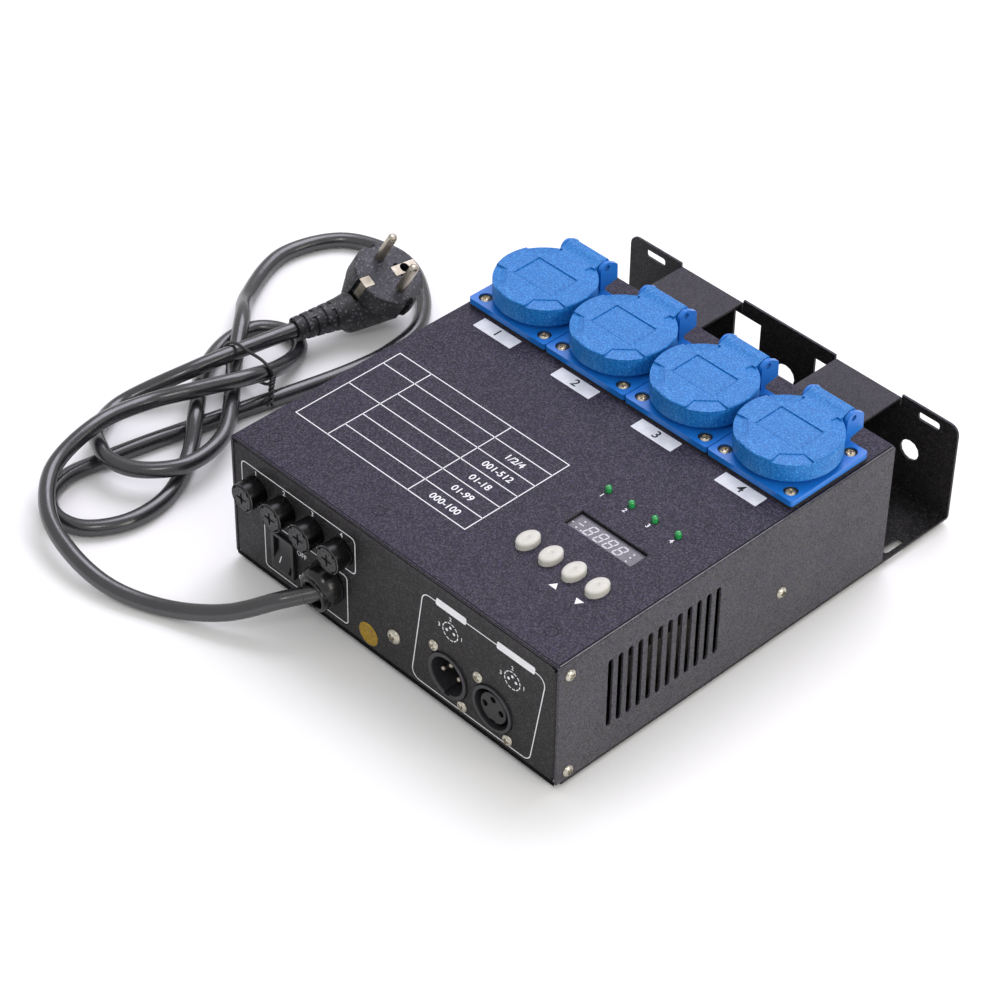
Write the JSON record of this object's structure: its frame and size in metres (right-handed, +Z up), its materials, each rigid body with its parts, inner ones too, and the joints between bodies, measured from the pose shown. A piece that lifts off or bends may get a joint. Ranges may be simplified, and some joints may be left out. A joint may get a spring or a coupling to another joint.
{
  "type": "dimmer pack",
  "caption": "Flat steel dimmer pack with lidded power sockets, display, buttons, fuse holders, mains rocker, round control connectors, rear hanging bracket and a looped mains lead.",
  "frame": {"origin": "middle of the bounding box of the pack without its lead, on the floor under the feet", "axes": "+X to the right seen from the front panel, +Y from the front panel to the rear bracket, +Z up"},
  "size_m": [0.368, 0.3184, 0.0905],
  "materials": {
    "tray_paint": "satin powder coat, near black",
    "cover_paint": "fine textured powder coat, dark purplish grey",
    "socket_blue": "satin moulded",
    "lid_blue": "semi-gloss moulded",
    "black_plastic": "satin moulded",
    "black_rubber": "matt",
    "nickel": "nickel plated",
    "steel": "bright zinc plated",
    "ivory": "satin moulded",
    "green_lens": "translucent lens",
    "grey_glass": "unlit display face",
    "board_green": "solder mask",
    "bare_aluminium": "extruded",
    "fuse_glass": "clear tube with metal ends",
    "core_steel": "varnished laminations",
    "diecast": "dark diecast shell"
  },
  "bodies": {
    "base": {"chassis_tray": "tray_paint", "top_cover": "cover_paint", "rear_panel": "tray_paint", "rocker_frame": "black_plastic", "connector_in": "diecast", "connector_out": "diecast", "display": "grey_glass", "control_board": "board_green", "power_board": "board_green", "heatsink": "bare_aluminium", "transformer": "core_steel", "cord": "black_plastic", "cable_gland": "black_plastic", "plug": "black_plastic", "cord_tie": "black_plastic", "foot_1": "black_rubber", "socket_gasket_1": "black_rubber", "socket_body_1": "socket_blue", "socket_earth_clip_1": "nickel", "socket_hinge_pin_1": "steel", "fuse_holder_1": "black_plastic", "light_1": "green_lens", "foot_2": "black_rubber", "socket_gasket_2": "black_rubber", "socket_body_2": "socket_blue", "socket_earth_clip_2": "nickel", "socket_hinge_pin_2": "steel", "fuse_holder_2": "black_plastic", "light_2": "green_lens", "foot_3": "black_rubber", "socket_gasket_3": "black_rubber", "socket_body_3": "socket_blue", "socket_earth_clip_3": "nickel", "socket_hinge_pin_3": "steel", "fuse_holder_3": "black_plastic", "light_3": "green_lens", "foot_4": "black_rubber", "socket_gasket_4": "black_rubber", "socket_body_4": "socket_blue", "socket_earth_clip_4": "nickel", "socket_hinge_pin_4": "steel", "fuse_holder_4": "black_plastic", "light_4": "green_lens"},
    "lid_1": {"socket_lid_1": "lid_blue"},
    "lid_2": {"socket_lid_2": "lid_blue"},
    "lid_3": {"socket_lid_3": "lid_blue"},
    "lid_4": {"socket_lid_4": "lid_blue"},
    "fuse_carrier_1": {"fuse_1": "fuse_glass"},
    "fuse_cap_body_1": {"fuse_cap_1": "black_plastic"},
    "fuse_carrier_2": {"fuse_2": "fuse_glass"},
    "fuse_cap_body_2": {"fuse_cap_2": "black_plastic"},
    "fuse_carrier_3": {"fuse_3": "fuse_glass"},
    "fuse_cap_body_3": {"fuse_cap_3": "black_plastic"},
    "fuse_carrier_4": {"fuse_4": "fuse_glass"},
    "fuse_cap_body_4": {"fuse_cap_4": "black_plastic"},
    "rocker_body": {"rocker": "black_plastic"},
    "button_body_1": {"button_1": "ivory"},
    "button_body_2": {"button_2": "ivory"},
    "button_body_3": {"button_3": "ivory"},
    "button_body_4": {"button_4": "ivory"}
  },
  "joints": [
    {"name": "lid_1_hinge", "type": "hinge", "parent": "base", "child": "lid_1", "pos_m": [-0.0756, 0.07115, 0.0875], "axis": [-1, 0, 0], "range_deg": [0, 110], "stiffness_Nm_per_rad": 0.012, "springref_deg": -20.05},
    {"name": "lid_2_hinge", "type": "hinge", "parent": "base", "child": "lid_2", "pos_m": [-0.0252, 0.07115, 0.0875], "axis": [-1, 0, 0], "range_deg": [0, 110], "stiffness_Nm_per_rad": 0.012, "springref_deg": -20.05},
    {"name": "lid_3_hinge", "type": "hinge", "parent": "base", "child": "lid_3", "pos_m": [0.0252, 0.07115, 0.0875], "axis": [-1, 0, 0], "range_deg": [0, 110], "stiffness_Nm_per_rad": 0.012, "springref_deg": -20.05},
    {"name": "lid_4_hinge", "type": "hinge", "parent": "base", "child": "lid_4", "pos_m": [0.0756, 0.07115, 0.0875], "axis": [-1, 0, 0], "range_deg": [0, 110], "stiffness_Nm_per_rad": 0.012, "springref_deg": -20.05},
    {"name": "fuse_1_draw", "type": "slide", "parent": "base", "child": "fuse_carrier_1", "axis": [0, -1, 0], "range_m": [0, 0.032]},
    {"name": "fuse_1_turn", "type": "hinge", "parent": "fuse_carrier_1", "child": "fuse_cap_body_1", "pos_m": [-0.086, -0.13195, 0.0502], "axis": [0, -1, 0], "range_deg": [0, 90]},
    {"name": "fuse_2_draw", "type": "slide", "parent": "base", "child": "fuse_carrier_2", "axis": [0, -1, 0], "range_m": [0, 0.032]},
    {"name": "fuse_2_turn", "type": "hinge", "parent": "fuse_carrier_2", "child": "fuse_cap_body_2", "pos_m": [-0.0672, -0.13195, 0.0502], "axis": [0, -1, 0], "range_deg": [0, 90]},
    {"name": "fuse_3_draw", "type": "slide", "parent": "base", "child": "fuse_carrier_3", "axis": [0, -1, 0], "range_m": [0, 0.032]},
    {"name": "fuse_3_turn", "type": "hinge", "parent": "fuse_carrier_3", "child": "fuse_cap_body_3", "pos_m": [-0.0484, -0.13195, 0.0502], "axis": [0, -1, 0], "range_deg": [0, 90]},
    {"name": "fuse_4_draw", "type": "slide", "parent": "base", "child": "fuse_carrier_4", "axis": [0, -1, 0], "range_m": [0, 0.032]},
    {"name": "fuse_4_turn", "type": "hinge", "parent": "fuse_carrier_4", "child": "fuse_cap_body_4", "pos_m": [-0.0296, -0.13195, 0.0502], "axis": [0, -1, 0], "range_deg": [0, 90]},
    {"name": "rocker_tilt", "type": "hinge", "parent": "base", "child": "rocker_body", "pos_m": [-0.0683, -0.12105, 0.0237], "axis": [1, 0, 0], "range_deg": [0, 24]},
    {"name": "button_1_press", "type": "slide", "parent": "base", "child": "button_body_1", "axis": [0, 0, -1], "range_m": [0, 0.001], "stiffness_N_per_m": 800},
    {"name": "button_2_press", "type": "slide", "parent": "base", "child": "button_body_2", "axis": [0, 0, -1], "range_m": [0, 0.001], "stiffness_N_per_m": 800},
    {"name": "button_3_press", "type": "slide", "parent": "base", "child": "button_body_3", "axis": [0, 0, -1], "range_m": [0, 0.001], "stiffness_N_per_m": 800},
    {"name": "button_4_press", "type": "slide", "parent": "base", "child": "button_body_4", "axis": [0, 0, -1], "range_m": [0, 0.001], "stiffness_N_per_m": 800}
  ]
}
